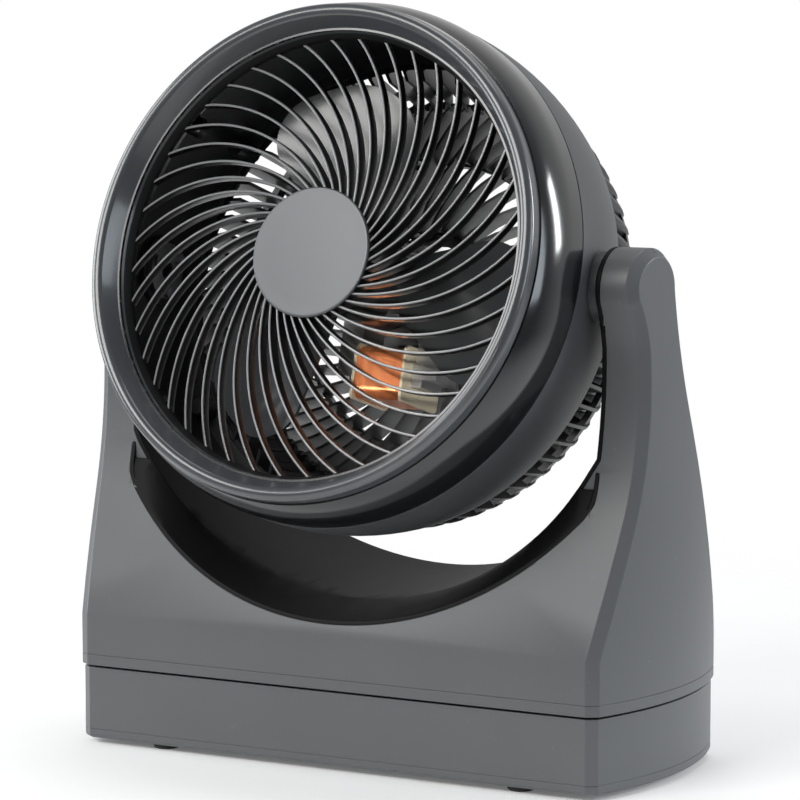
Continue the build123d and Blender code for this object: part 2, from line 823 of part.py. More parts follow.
# Bezel ring in radius and depth: a conical flank inside, a rounded crest and a short outer wall
with BuildSketch() as ring_outline:
    with BuildLine():
        Polyline((ring_bore, far_back), (ring_bore, ring_flank_depth), (ring_crest, ring_front),
                 (ring_outer, ring_shoulder_depth), (ring_outer, far_back), close=True)
    make_face()
    offset(amount=-ring_wall, kind=Kind.INTERSECTION, mode=Mode.SUBTRACT)
    with Locations((ledge_bore, ring_rim_depth)):
        Rectangle(far_back, far_back, align=(Align.MIN, Align.MIN), mode=Mode.SUBTRACT)
    with Locations((0, ring_back)):
        Rectangle(2 * ring_outer, far_back, align=(Align.MIN, Align.MIN), mode=Mode.SUBTRACT)
    fillet(ring_outline.vertices().sort_by(Axis.Y)[0], ring_crest_round)
    shoulder = ring_outline.vertices().sort_by_distance((ring_outer, ring_shoulder_depth, 0))[0]
    fillet(shoulder, ring_crest_round)

cone_rise = bar_rim_depth - cap_thickness - 0.4
with BuildPart() as bars:
    with BuildSketch() as one_bar:
        with BuildLine() as bar_line:
            ThreePointArc(*[(r * cos(radians(a)), r * sin(radians(a))) for r, a in
                            ((hub_radius - 1.2, -0.8), (bar_mid_radius, bar_mid_sweep),
                             (ring_bore + 1, bar_sweep))])
        trace(line_width=bar_width)
    with BuildSketch(facing(ring_back + bar_depth)):
        with PolarLocations(0, bar_count, start_angle=bar_phase):
            add(one_bar.sketch)
    extrude(amount=ring_back + bar_depth)
    with BuildSketch(section):
        with BuildLine():
            Polyline((hub_radius - 3, cap_thickness + 0.4), (ring_bore + 2, bar_rim_depth),
                     (ring_bore + 2, bar_rim_depth + bar_depth - 2),
                     (hub_radius - 3, cap_thickness + 0.4 + bar_depth + 1), close=True)
        make_face()
    revolve(axis=drum_axis, mode=Mode.INTERSECT)

ring_boss_places = around(facing(ring_rim_depth), ring_boss_reach, (45, 135, 225, 315))
with BuildPart() as front_grille:
    with BuildSketch(section):
        add(ring_outline.sketch)
        with BuildLine():
            Polyline((hub_radius - 2.6, cap_thickness), (hub_radius - 0.3, cap_thickness),
                     (hub_radius - 0.3, hub_depth), (hub_radius - 2.6, hub_depth), close=True)
        make_face()
    revolve(axis=drum_axis)
    add(bars)
    for place in ring_boss_places:
        with BuildSketch(place):
            Circle(screw_head)
        extrude(amount=ring_boss_length)
    for place in ring_boss_places:
        with BuildSketch(place):
            Circle(screw_radius)
        extrude(amount=ring_screw_bite, mode=Mode.SUBTRACT)
finish(front_grille, "front_grille")

with BuildPart() as hub_cap:
    with BuildSketch(facing(cap_thickness)):
        Circle(hub_radius)
    extrude(amount=cap_thickness)
    fillet(hub_cap.edges().sort_by(drum_axis)[-1], 0.7)
    with BuildSketch(facing(cap_thickness)):
        Circle(hub_radius - 2.6 - slide_gap)
        Circle(hub_radius - 4.4, mode=Mode.SUBTRACT)
    extrude(amount=-4)
finish(hub_cap, "hub_cap")

# ---------------------------------------------------------------- drum shells
ledge_front = ring_rim_depth
lug_angles = (35, 145, 215, 325)
seam_lugs = around(facing(seam_depth), seam_lug_reach, lug_angles)
rear_lugs = around(facing(mid_rear_depth), rear_lug_reach, lug_angles)


def front_wall(wall):
    """Front shell in radius and depth, drawn in by the wall."""
    with BuildLine() as wall_line:
        ThreePointArc((shell_lip - wall, ledge_front + wall / 2),
                      (shell_radius - 2.1 - wall, shell_crown / 2),
                      (shell_radius - wall, shell_crown))
        Line((shell_radius - wall, shell_crown), (shell_radius - wall, seam_depth))
    return wall_line.line


with BuildPart() as front_shell:
    with BuildSketch(section):
        with BuildLine():
            add(front_wall(0))
            add(front_wall(drum_wall))
            Line((shell_lip, ledge_front), (shell_lip - drum_wall, ledge_front + drum_wall / 2))
            Line((shell_radius - drum_wall, seam_depth), (shell_radius, seam_depth))
        make_face()
        with BuildLine():
            Polyline((ledge_bore, ledge_front), (shell_lip, ledge_front),
                     (shell_lip + 0.6, ledge_front + ledge_thickness),
                     (ledge_bore, ledge_front + ledge_thickness), close=True)
        make_face()
        # Tongue that centres the rear half
        with Locations((shell_radius - drum_wall, seam_depth - 4)):
            Rectangle(1.6, 7.0, align=(Align.MAX, Align.MIN))
    revolve(axis=drum_axis)
    for place in seam_lugs:
        with BuildSketch(place):
            Circle(seam_lug_radius)
        extrude(amount=seam_boss_length)
    with BuildSketch(section):
        with BuildLine():
            add(front_wall(0))
            Polyline((shell_lip, ledge_front), (ledge_bore, ledge_front), (ledge_bore, 60),
                     (shell_radius, 60), (shell_radius, seam_depth))
        make_face()
    revolve(axis=drum_axis, mode=Mode.INTERSECT)
    for place in seam_lugs:
        with BuildSketch(place):
            Circle(screw_radius)
        extrude(amount=seam_boss_length - 2, mode=Mode.SUBTRACT)
    for place in ring_boss_places:
        with BuildSketch(place):
            Circle(screw_hole)
        extrude(amount=-ledge_thickness, mode=Mode.SUBTRACT)
finish(front_shell, "front_shell")
ledge_seats = around(facing_back(ledge_front + ledge_thickness), ring_boss_reach,
                     (45, 135, 225, 315))
export_group([screw(seat, ledge_thickness + ring_screw_bite - 1) for seat in ledge_seats],
             "grille_screws")


def mid_wall(wall):
    """Rear half of the drum in radius and depth, drawn in by the wall."""
    with BuildLine() as wall_line:
        ThreePointArc((shell_radius + 0.1 - wall, seam_depth + seam_groove),
                      (mid_bulge - wall, mid_bulge_depth), (mid_rear_radius - wall, mid_rear_depth))
    return wall_line.line


with BuildPart() as mid_shell:
    with BuildSketch(section):
        with BuildLine():
            add(mid_wall(0))
            add(mid_wall(drum_wall))
            Line((shell_radius + 0.1, seam_depth + seam_groove),
                 (shell_radius + 0.1 - drum_wall, seam_depth + seam_groove))
            Line((mid_rear_radius, mid_rear_depth), (mid_rear_radius - drum_wall, mid_rear_depth))
        make_face()
        # Inward flange that the rear grille sits on
        with Locations((mid_rear_radius - 1, mid_rear_depth)):
            Rectangle(8, drum_wall, align=(Align.MAX, Align.MAX))
    revolve(axis=drum_axis)
    for place in around(facing(seam_depth + seam_groove), seam_lug_reach, lug_angles):
        with BuildSketch(place):
            Circle(seam_lug_radius)
        extrude(amount=-seam_lug_length)
    for place in rear_lugs:
        with BuildSketch(place):
            Circle(boss_radius)
        extrude(amount=rear_boss_length)
    for side in (-1, 1):
        with BuildSketch(trunnion_plane(side, pad_inner)):
            Circle(pad_radius)
        extrude(amount=pad_outer - pad_inner)
    for place in seam_lugs:
        with BuildSketch(place):
            Circle(screw_hole)
        extrude(amount=-2 * seam_lug_length, mode=Mode.SUBTRACT)
    for place in rear_lugs:
        with BuildSketch(place):
            Circle(screw_radius)
        extrude(amount=rear_boss_length - 2, mode=Mode.SUBTRACT)
    # The front shell's tongue has a groove to slide into
    with BuildSketch(section):
        with Locations((shell_radius + 0.1 - drum_wall, seam_depth)):
            Rectangle(2.2, 3.4, align=(Align.MAX, Align.MIN))
    revolve(axis=drum_axis, mode=Mode.SUBTRACT)
    for side in (-1, 1):
        with BuildSketch(trunnion_plane(side, pad_inner)):
            Circle(trunnion_radius)
            with PolarLocations(trunnion_screw_reach, 3, start_angle=90):
                Circle(screw_radius)
        extrude(amount=pad_outer - pad_inner, mode=Mode.SUBTRACT)
finish(mid_shell, "mid_shell")

seam_seats = around(facing_back(seam_depth + seam_groove + seam_lug_length), seam_lug_reach,
                    lug_angles)
export_group([screw(seat, post_screw) for seat in seam_seats], "shell_screws")

# ---------------------------------------------------------------- rear grille
def fin_outline(drawn_in):
    """Side of one fin in radius and depth: down the drum's back and across to the middle."""
    with BuildSketch() as outline:
        with BuildLine():
            ThreePointArc((fin_rim_radius - drawn_in, mid_rear_depth),
                          (fin_rim_radius - 3.2 - drawn_in, mid_rear_depth + 20),
                          (rear_corner_radius - drawn_in, rear_corner_depth - drawn_in))
            Polyline((rear_corner_radius - drawn_in, rear_corner_depth - drawn_in),
                     (rear_corner_radius - 6, rear_depth_end - drawn_in),
                     (0, rear_depth_end - drawn_in), (0, mid_rear_depth),
                     (fin_rim_radius - drawn_in, mid_rear_depth))
        make_face()
    return outline.sketch


with BuildPart() as fins:
    with BuildSketch() as straight_fin:
        with Locations((rear_ring_radius - 1, 0)):
            Rectangle(fin_rim_radius + 2 - rear_ring_radius, fin_width, align=(Align.MIN, Align.CENTER))
    with BuildSketch() as curved_fin:
        with BuildLine():
            ThreePointArc((rear_disc_radius - 1, 0), ((rear_disc_radius + rear_ring_radius) / 2, 4),
                          (rear_ring_radius + 1, 0))
        trace(line_width=fin_width)
    with BuildSketch(facing(rear_depth_end)):
        with PolarLocations(0, fin_count):
            add(straight_fin.sketch)
        with PolarLocations(0, fin_count // 2):
            add(curved_fin.sketch)
    extrude(amount=rear_depth_end - mid_rear_depth)
    with BuildSketch(section):
        add(fin_outline(0))
        add(fin_outline(fin_depth), mode=Mode.SUBTRACT)
    revolve(axis=drum_axis, mode=Mode.INTERSECT)

rear_screw_places = [(rear_lug_reach * cos(radians(a)), rear_lug_reach * sin(radians(a)))
                     for a in lug_angles]
with BuildPart() as rear_grille:
    add(fins)
    with BuildSketch(section):
        with Locations((fin_rim_radius - 9, mid_rear_depth)):
            Rectangle(9.6, drum_wall, align=(Align.MIN, Align.MIN))
        with Locations((rear_ring_radius, rear_depth_end)):
            Rectangle(2.4, fin_depth, align=(Align.CENTER, Align.MAX))
        with Locations((0, rear_depth_end)):
            Rectangle(rear_disc_radius, drum_wall, align=(Align.MIN, Align.MAX))
        with Locations((rear_disc_radius, rear_depth_end)):
            Rectangle(drum_wall, fin_depth, align=(Align.MAX, Align.MAX))
        with BuildLine():
            Polyline((rear_corner_radius + 1.6, rear_corner_depth - 8),
                     (rear_corner_radius - 2, rear_corner_depth - 8),
                     (rear_corner_radius - 3.2, rear_corner_depth - 3),
                     (rear_corner_radius + 0.4, rear_corner_depth - 3), close=True)
        make_face()
    revolve(axis=drum_axis)
    with BuildSketch(facing(rear_depth_end - drum_wall)):
        with Locations((motor_bolt_reach, 0), (-motor_bolt_reach, 0)):
            Circle(boss_radius + 1)
    extrude(amount=rear_depth_end - drum_wall - rear_bracket_back)
    with BuildSketch(facing(rear_bracket_back)):
        with Locations((motor_bolt_reach, 0), (-motor_bolt_reach, 0)):
            Circle(screw_radius)
    extrude(amount=-motor_bolt_bite, mode=Mode.SUBTRACT)
    with BuildSketch(facing(rear_depth_end)):
        Circle(bush_thread)
    extrude(amount=drum_wall, mode=Mode.SUBTRACT)
    with BuildSketch(facing(mid_rear_depth)):
        with Locations(*rear_screw_places):
            Circle(screw_hole)
    extrude(amount=-drum_wall, mode=Mode.SUBTRACT)
    with BuildSketch(facing(mid_rear_depth + drum_wall)):
        with Locations(*rear_screw_places):
            Circle(screw_head + part_gap)
    extrude(amount=-4 * fin_depth, mode=Mode.SUBTRACT)
finish(rear_grille, "rear_grille")
rear_seats = around(facing_back(mid_rear_depth + drum_wall), rear_lug_reach, lug_angles)
export_group([screw(seat, post_screw) for seat in rear_seats], "rear_grille_screws")

# ---------------------------------------------------------------- tilt pivots
trunnions = []
for side in (-1, 1):
    with BuildPart() as trunnion:
        with BuildSketch(trunnion_plane(side, pad_inner - trunnion_plate)):
            Circle(trunnion_flange)
            with PolarLocations(trunnion_screw_reach, 3, start_angle=90):
                Circle(screw_hole, mode=Mode.SUBTRACT)
        extrude(amount=trunnion_plate)
        with BuildSketch(trunnion_plane(side, pad_inner)):
            Circle(trunnion_radius)
        extrude(amount=trunnion_end - pad_inner)
        with BuildSketch(trunnion_plane(side, clip_reach)):
            Circle(trunnion_radius)
            Circle(clip_bore, mode=Mode.SUBTRACT)
        extrude(amount=clip_thickness, mode=Mode.SUBTRACT)
        with BuildSketch(trunnion_plane(side, 0)):
            Circle(wire_bore)
        extrude(amount=trunnion_end, mode=Mode.SUBTRACT)
    trunnions.append(trunnion.part)
export_group(trunnions, "trunnions")
trunnion_seats = [seat for side in (-1, 1) for seat in around(
    Plane(origin=(side * (pad_inner - trunnion_plate), pivot_back, pivot_height),
          x_dir=(0, 1, 0), z_dir=(-side, 0, 0)), trunnion_screw_reach,
    (-90, -210, -330))]
export_group([screw(seat, trunnion_plate + pad_screw) for seat in trunnion_seats],
             "trunnion_screws")


def pivot_rings(bore, outer, reach, thickness, name):
    """A pair of rings round the tilt axis, one for each arm."""
    pair = []
    for side in (-1, 1):
        with BuildPart() as ring:
            with BuildSketch(trunnion_plane(side, reach)):
                Circle(outer)
                Circle(bore, mode=Mode.SUBTRACT)
            extrude(amount=thickness)
        pair.append(ring.part)
    export_group(pair, name)


bush_end = bush_face + bush_length
pivot_rings(trunnion_radius + run_gap, bush_radius, bush_face, bush_length, "pivot_bushes")
pivot_rings(trunnion_radius + run_gap, trunnion_flange, bush_end + slide_gap,
            clip_reach - bush_end - slide_gap, "friction_washers")
pivot_rings(clip_bore, trunnion_flange - 2, clip_reach, clip_thickness, "trunnion_clips")

# ---------------------------------------------------------------- motor
bolt_places = [(-motor_bolt_reach, 0), (motor_bolt_reach, 0)]
with BuildPart() as stator_core:
    with BuildSketch(facing(stack_back)):
        with Locations((0, (stator_top + stator_bottom) / 2)):
            RectangleRounded(2 * stator_half, stator_top - stator_bottom, 4)
        Circle(rotor_radius + air_gap, mode=Mode.SUBTRACT)
        with Locations((0, leg_top)):
            Rectangle(2 * window_half, window_top - leg_top, align=(Align.CENTER, Align.MIN),
                      mode=Mode.SUBTRACT)
        with Locations(*bolt_places):
            Circle(screw_hole, mode=Mode.SUBTRACT)
        for side in (-1, 1):
            with Locations((side * (stator_half + 1), stator_bottom)):
                Rectangle(2 * (stator_half - window_half - 4), leg_top - stator_bottom - 20,
                          mode=Mode.SUBTRACT)
    extrude(amount=stack_depth)
finish(stator_core, "stator_core")

leg_middle = (leg_top + stator_bottom) / 2
leg_height = leg_top - stator_bottom
with BuildPart() as coil_bobbin:
    for x in (-coil_half - flange_thickness, coil_half):
        with BuildSketch(bobbin_plane(x)):
            RectangleRounded(stack_depth + 2 * coil_build + 2, leg_height + 2 * coil_build + 2, 3)
        extrude(amount=flange_thickness)
    with BuildSketch(bobbin_plane(-coil_half)):
        Rectangle(stack_depth + 2 * bobbin_wall, leg_height + 2 * bobbin_wall)
    extrude(amount=2 * coil_half)
    with BuildSketch(bobbin_plane(-coil_half - flange_thickness)):
        Rectangle(stack_depth + 0.2, leg_height + 0.2)
    extrude(amount=2 * (coil_half + flange_thickness), mode=Mode.SUBTRACT)
finish(coil_bobbin, "coil_bobbin")

with BuildPart() as motor_coil:
    with BuildSketch(bobbin_plane(-coil_half)):
        RectangleRounded(stack_depth + 2 * coil_build, leg_height + 2 * coil_build, 6)
        Rectangle(stack_depth + 2 * bobbin_wall, leg_height + 2 * bobbin_wall,
                  mode=Mode.SUBTRACT)
    extrude(amount=2 * coil_half)
finish(motor_coil, "motor_coil")


def bearing_bracket(depth, toward):
    """Steel strap over the rotor with a bearing cup, standing off on two folded feet."""
    with BuildPart() as bracket:
        with BuildSketch(depth_plane(depth, toward)):
            SlotOverall(2 * (motor_bolt_reach + 6), 2 * (bearing_radius + 4))
        extrude(amount=bracket_standoff + bracket_thickness)
        with BuildSketch(depth_plane(depth, toward)):
            SlotOverall(2 * (motor_bolt_reach - 5), 4 * bearing_radius)
        extrude(amount=bracket_standoff, mode=Mode.SUBTRACT)
        with BuildSketch(depth_plane(depth, toward).offset(bracket_standoff)):
            Circle(bearing_radius + bracket_thickness)
        extrude(amount=bearing_length)
        with BuildSketch(depth_plane(depth, toward)):
            Circle(bearing_radius)
            with Locations(*bolt_places):
                Circle(screw_hole)
        extrude(amount=30, mode=Mode.SUBTRACT)
    return bracket


front_bracket = bearing_bracket(stack_front, 1)
finish(front_bracket, "front_bracket")
rear_bracket = bearing_bracket(stack_back, -1)
finish(rear_bracket, "rear_bracket")

bearings = []
for depth, toward in ((stack_front, 1), (stack_back, -1)):
    with BuildPart() as bearing:
        with BuildSketch(depth_plane(depth, toward).offset(bracket_standoff)):
            Circle(bearing_radius)
            Circle(shaft_radius + run_gap, mode=Mode.SUBTRACT)
        extrude(amount=bearing_length)
    bearings.append(bearing.part)
export_group(bearings, "shaft_bearings")

bolt_length = rear_bracket_back - front_bracket_front + motor_bolt_bite - 2
bolt_seats = [moved(facing(front_bracket_front), x, y) for x, y in bolt_places]
export_group([screw(seat, bolt_length) for seat in bolt_seats], "motor_bolts")

# ---------------------------------------------------------------- rotor and impeller
with BuildPart() as motor_shaft:
    with BuildSketch(facing(shaft_back)):
        Circle(shaft_radius)
    extrude(amount=shaft_back - shaft_front)
    chamfer(motor_shaft.edges().sort_by(drum_axis)[-1], 0.5)
finish(motor_shaft, "motor_shaft")

with BuildPart() as rotor_core:
    with BuildSketch(facing(stack_back)):
        Circle(rotor_radius)
        Circle(shaft_radius, mode=Mode.SUBTRACT)
    extrude(amount=stack_depth)
finish(rotor_core, "rotor_core")

def blade_station(angle, reach):
    """Section of one blade on a plane square to the radius, its height along the drum's axis."""
    outward = Vector(1, 0, 0) * cos(radians(angle)) + up * sin(radians(angle))
    along = up * cos(radians(angle)) - Vector(1, 0, 0) * sin(radians(angle))
    width = reach * tan(radians(blade_span / 2))
    centre = nose - forward * blade_depth + outward * reach
    with BuildSketch(Plane(origin=centre, x_dir=along, z_dir=outward)) as station:
        with BuildLine():
            ThreePointArc((-width, -blade_twist), (0, blade_camber), (width, blade_twist))
            Line((width, blade_twist), (width, blade_twist - blade_thickness))
            ThreePointArc((width, blade_twist - blade_thickness), (0, blade_camber - blade_thickness),
                          (-width, -blade_twist - blade_thickness))
            Line((-width, -blade_twist - blade_thickness), (-width, -blade_twist))
        make_face()
    return station.sketch


def blade_outline(angle):
    """Front view of one blade: a sector with its two outer corners rounded."""
    aft, middle, fore = [Vector(cos(radians(turned)), sin(radians(turned)))
                         for turned in (angle - blade_span / 2, angle, angle + blade_span / 2)]
    with BuildSketch() as outline:
        with BuildLine():
            Polyline(aft * blade_tip, aft * blade_heel, fore * blade_heel, fore * blade_tip)
            ThreePointArc(fore * blade_tip, middle * blade_tip, aft * blade_tip)
        make_face()
        fillet(outline.vertices().sort_by_distance(fore * blade_tip)[0], fore_corner)
        fillet(outline.vertices().sort_by_distance(aft * blade_tip)[0], aft_corner)
    return outline.sketch


blade_angles = [blade_start + 360 / blade_count * turn for turn in range(blade_count)]
with BuildPart() as blades:
    for angle in blade_angles:
        loft([blade_station(angle, blade_root), blade_station(angle, blade_tip + 2)], ruled=True)
    with BuildSketch(facing(spinner_back + 10)):
        for angle in blade_angles:
            add(blade_outline(angle))
    extrude(amount=spinner_back + 10 - spinner_front + 20, mode=Mode.INTERSECT)

with BuildPart() as impeller:
    add(blades)
    with BuildSketch(section):
        with BuildLine():
            ThreePointArc((spinner_nut, spinner_front), (spinner_radius - 5, spinner_front + 5),
                          (spinner_radius, spinner_front + 16))
            Polyline((spinner_radius, spinner_front + 16), (spinner_radius, spinner_back),
                     (0, spinner_back), (0, spinner_front), (spinner_nut, spinner_front))
        make_face()
    revolve(axis=drum_axis)
    with BuildSketch(section):
        with Locations((shaft_radius + 3.5, spinner_back)):
            Rectangle(spinner_radius - shaft_radius - 6, spinner_back - spinner_front - 22,
                      align=(Align.MIN, Align.MAX))
    revolve(axis=drum_axis, mode=Mode.SUBTRACT)
    with BuildSketch(facing(spinner_back)):
        Circle(shaft_radius)
    extrude(amount=spinner_back - spinner_front, mode=Mode.SUBTRACT)
finish(impeller, "impeller")

with BuildPart() as impeller_nut:
    with BuildSketch(facing(spinner_front)):
        RegularPolygon(spinner_nut - 0.6, 6)
    extrude(amount=nut_height)
    with BuildSketch(facing(spinner_front)):
        Circle(shaft_radius)
    extrude(amount=nut_height - 2, mode=Mode.SUBTRACT)
    fillet(impeller_nut.faces().sort_by(drum_axis)[-1].edges(), 1.0)
finish(impeller_nut, "impeller_nut")

# ---------------------------------------------------------------- speed switch and knob
switch_back = rear_depth_end - drum_wall
with BuildPart() as speed_switch:
    with BuildSketch(facing(switch_back)):
        RectangleRounded(2 * switch_half, 2 * switch_half, 2)
    extrude(amount=switch_depth)
    with BuildSketch(facing(switch_back)):
        Circle(bush_thread - slide_gap)
    extrude(amount=-drum_wall - 1)
    with BuildSketch(facing(rear_depth_end + 1)):
        Circle(spindle_radius + run_gap)
    extrude(amount=switch_depth + drum_wall - 1, mode=Mode.SUBTRACT)
finish(speed_switch, "speed_switch")

with BuildPart() as switch_spindle:
    with BuildSketch(facing(switch_back - switch_depth + 3)):
        Circle(spindle_radius)
    extrude(amount=-(switch_depth - 3 + drum_wall + knob_height - 4))
finish(switch_spindle, "switch_spindle")

knob_base = rear_depth_end + 1 + part_gap
with BuildPart() as speed_knob:
    with BuildSketch(facing_back(knob_base)):
        Circle(knob_radius)
    extrude(amount=4)
    with BuildSketch(facing_back(knob_base + 4)):
        Circle(knob_radius - 2)
    extrude(amount=knob_height - 4, taper=4)
    fillet(speed_knob.edges().sort_by(drum_axis)[0], 1.2)
    with BuildSketch(facing_back(knob_base)):
        RectangleRounded(5, 2 * knob_radius - 2, 2)
    extrude(amount=knob_height + 1.5)
    with BuildSketch(facing_back(knob_base)):
        Circle(spindle_radius)
    extrude(amount=knob_height - 3, mode=Mode.SUBTRACT)
finish(speed_knob, "speed_knob")
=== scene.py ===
import json
import math

import bmesh
import bpy
from mathutils import Matrix, Vector


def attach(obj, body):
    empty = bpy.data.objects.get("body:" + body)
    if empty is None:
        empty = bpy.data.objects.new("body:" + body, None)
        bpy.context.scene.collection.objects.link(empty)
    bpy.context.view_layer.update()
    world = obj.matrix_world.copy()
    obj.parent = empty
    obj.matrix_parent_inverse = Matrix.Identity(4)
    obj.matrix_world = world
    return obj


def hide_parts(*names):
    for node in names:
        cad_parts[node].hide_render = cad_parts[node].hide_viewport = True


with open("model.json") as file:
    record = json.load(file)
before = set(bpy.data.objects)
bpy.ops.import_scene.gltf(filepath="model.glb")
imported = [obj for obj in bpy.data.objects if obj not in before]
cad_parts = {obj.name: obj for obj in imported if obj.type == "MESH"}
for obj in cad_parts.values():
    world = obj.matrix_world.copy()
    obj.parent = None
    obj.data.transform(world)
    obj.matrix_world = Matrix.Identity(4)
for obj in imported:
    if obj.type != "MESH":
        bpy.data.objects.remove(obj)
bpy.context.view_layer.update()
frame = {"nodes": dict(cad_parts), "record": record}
parts = frame["nodes"]

# ---------------------------------------------------------------- studio
# The fan stands on a pale table under soft boxes at the front left, at both sides, behind and
# overhead. A weak narrow lamp lights the motor through the grille. The camera looks a little
# down on the fan from the front right.
view_turn = math.radians(30.02)
view_lift = math.radians(6.30)
view_distance = 1.82897
aim = Vector((0.0055, -0.0036, 0.17016))
toward_camera = Vector((math.sin(view_turn) * math.cos(view_lift),
                        -math.cos(view_turn) * math.cos(view_lift), math.sin(view_lift)))


def aimed(kind, name, place, target):
    """A camera or light that looks from a place towards a target."""
    thing = bpy.data.objects.new(name, kind)
    bpy.context.scene.collection.objects.link(thing)
    thing.location = place
    thing.rotation_euler = (Vector(target) - Vector(place)).to_track_quat("-Z", "Y").to_euler()
    return thing


bpy.context.scene.view_settings.view_transform = "Standard"
lens = bpy.data.cameras.new("photographer")
lens.sensor_width = 36.0
lens.lens = 156.58
lens.shift_y = 0.04005
lens.clip_end = 50
bpy.context.scene.camera = aimed(lens, "photographer", aim + toward_camera * view_distance, aim)


def soft_box(name, place, target, width, height, power, tint=(1, 1, 1)):
    """A rectangular soft light."""
    panel = bpy.data.lights.new(name, "AREA")
    panel.shape = "RECTANGLE"
    panel.size = width
    panel.size_y = height
    panel.energy = power
    panel.color = tint
    return aimed(panel, name, place, target)


soft_box("key_box", (-0.50, -1.75, 1.30), (0, 0, 0.2), 1.3, 0.9, 30, (1.0, 0.99, 0.97))
soft_box("left_box", (-1.75, -0.45, 0.65), (0, 0, 0.25), 1.3, 1.3, 27, (0.95, 0.98, 1.0))
soft_box("right_box", (1.80, -0.10, 0.62), (0.1, 0, 0.25), 0.55, 1.0, 8, (0.84, 0.93, 1.0))
soft_box("rear_box", (1.52, 0.92, 0.82), (0.13, -0.06, 0.27), 0.30, 0.75, 14, (0.95, 0.98, 1.0))
soft_box("top_box", (0.1, 0.3, 1.8), (0, 0, 0.2), 1.2, 0.9, 8)
coil_place, lamp_size, lamp_power = (0.006, 0.0, 0.196), 0.05, 0.016
motor_lamp = soft_box("motor_lamp", (0.62, -1.45, 0.30), coil_place, lamp_size, lamp_size,
                      lamp_power, (1.0, 0.96, 0.88))
motor_lamp.data.spread = math.radians(4)

# The backdrop is white to the camera. To the fan it is dim in front and brighter behind.
room = bpy.data.worlds.new("white_room")
bpy.context.scene.world = room
room.use_nodes = True
room_nodes = room.node_tree.nodes
room_links = room.node_tree.links
seen = room_nodes.new("ShaderNodeLightPath")
backdrop = room_nodes["Background"]
backdrop.inputs["Color"].default_value = (1, 1, 1, 1)
ray = room_nodes.new("ShaderNodeSeparateXYZ")
room_links.new(room_nodes.new("ShaderNodeTexCoord").outputs["Generated"], ray.inputs["Vector"])
behind = room_nodes.new("ShaderNodeMapRange")
behind.interpolation_type = "SMOOTHSTEP"
for socket, value in {"From Min": 0.1, "From Max": 0.8, "To Min": 0.13, "To Max": 0.62}.items():
    behind.inputs[socket].default_value = value
room_links.new(ray.outputs["Y"], behind.inputs["Value"])
level = room_nodes.new("ShaderNodeMix")
level.inputs["B"].default_value = 1.0
room_links.new(seen.outputs["Is Camera Ray"], level.inputs["Factor"])
room_links.new(behind.outputs["Result"], level.inputs["A"])
room_links.new(level.outputs["Result"], backdrop.inputs["Strength"])


class Wire:
    """A socket that takes part in sums like a number."""

    def __init__(self, tree, socket):
        self.tree = tree
        self.socket = socket

    def sum(self, operation, *values):
        return self.tree.add("ShaderNodeMath", {"operation": operation},
                             dict(enumerate(values)))["Value"]

    def __add__(self, other):
        return self.sum("ADD", self, other)

    __radd__ = __add__

    def __sub__(self, other):
        return self.sum("SUBTRACT", self, other)

    def __rsub__(self, other):
        return self.sum("SUBTRACT", other, self)

    def __mul__(self, other):
        return self.sum("MULTIPLY", self, other)

    def __truediv__(self, other):
        return self.sum("DIVIDE", self, other)

    def eased(self, low, high, start=0.0, end=1.0):
        """Smooth step between two values."""
        return self.tree.add("ShaderNodeMapRange", {"interpolation_type": "SMOOTHSTEP"},
                             {"Value": self, "From Min": low, "From Max": high,
                              "To Min": start, "To Max": end})["Result"]


class Made:
    """A node whose outputs are picked by name."""

    def __init__(self, tree, node):
        self.tree = tree
        self.node = node

    def __getitem__(self, name):
        return Wire(self.tree, self.node.outputs[name])


class Graph:
    """A node tree that is put together one node at a time."""

    def __init__(self, tree):
        self.nodes = tree

    def add(self, kind, settings=None, sockets=None):
        node = self.nodes.nodes.new(kind)
        for name, value in (settings or {}).items():
            setattr(node, name, value)
        for name, value in (sockets or {}).items():
            self.feed(node.inputs[name], value)
        return Made(self, node)

    def feed(self, socket, value):
        if isinstance(value, Wire):
            self.nodes.links.new(value.socket, socket)
        elif socket.type == "RGBA" and len(value) == 3:
            socket.default_value = (*value, 1)
        else:
            socket.default_value = value


class Finish(Graph):
    """The look of one surface, built round its shader."""

    def __init__(self, name, **fixed):
        self.material = bpy.data.materials.new(name)
        self.material.use_nodes = True
        super().__init__(self.material.node_tree)
        self.shader = self.nodes.nodes["Principled BSDF"]
        for socket, value in fixed.items():
            self.set(socket.replace("_", " "), value)

    def set(self, socket, value):
        self.feed(self.shader.inputs[socket], value)

    def noise(self, scale, detail=2.0, stretch=None, rough=0.5):
        place = self.add("ShaderNodeTexCoord")["Object"]
        if stretch:
            place = self.add("ShaderNodeMapping", None,
                             {"Vector": place, "Scale": stretch})["Vector"]
        return self.add("ShaderNodeTexNoise", None,
                        {"Vector": place, "Scale": scale, "Detail": detail,
                         "Roughness": rough})["Fac"]

    def blend(self, share, first, second):
        return self.add("ShaderNodeMix", {"data_type": "RGBA"},
                        {"Factor": share, 6: first, 7: second})[2]

    def bump(self, height, strength, distance, under=None):
        sockets = {"Height": height, "Strength": strength, "Distance": distance}
        if under:
            sockets["Normal"] = under
        return self.add("ShaderNodeBump", None, sockets)["Normal"]


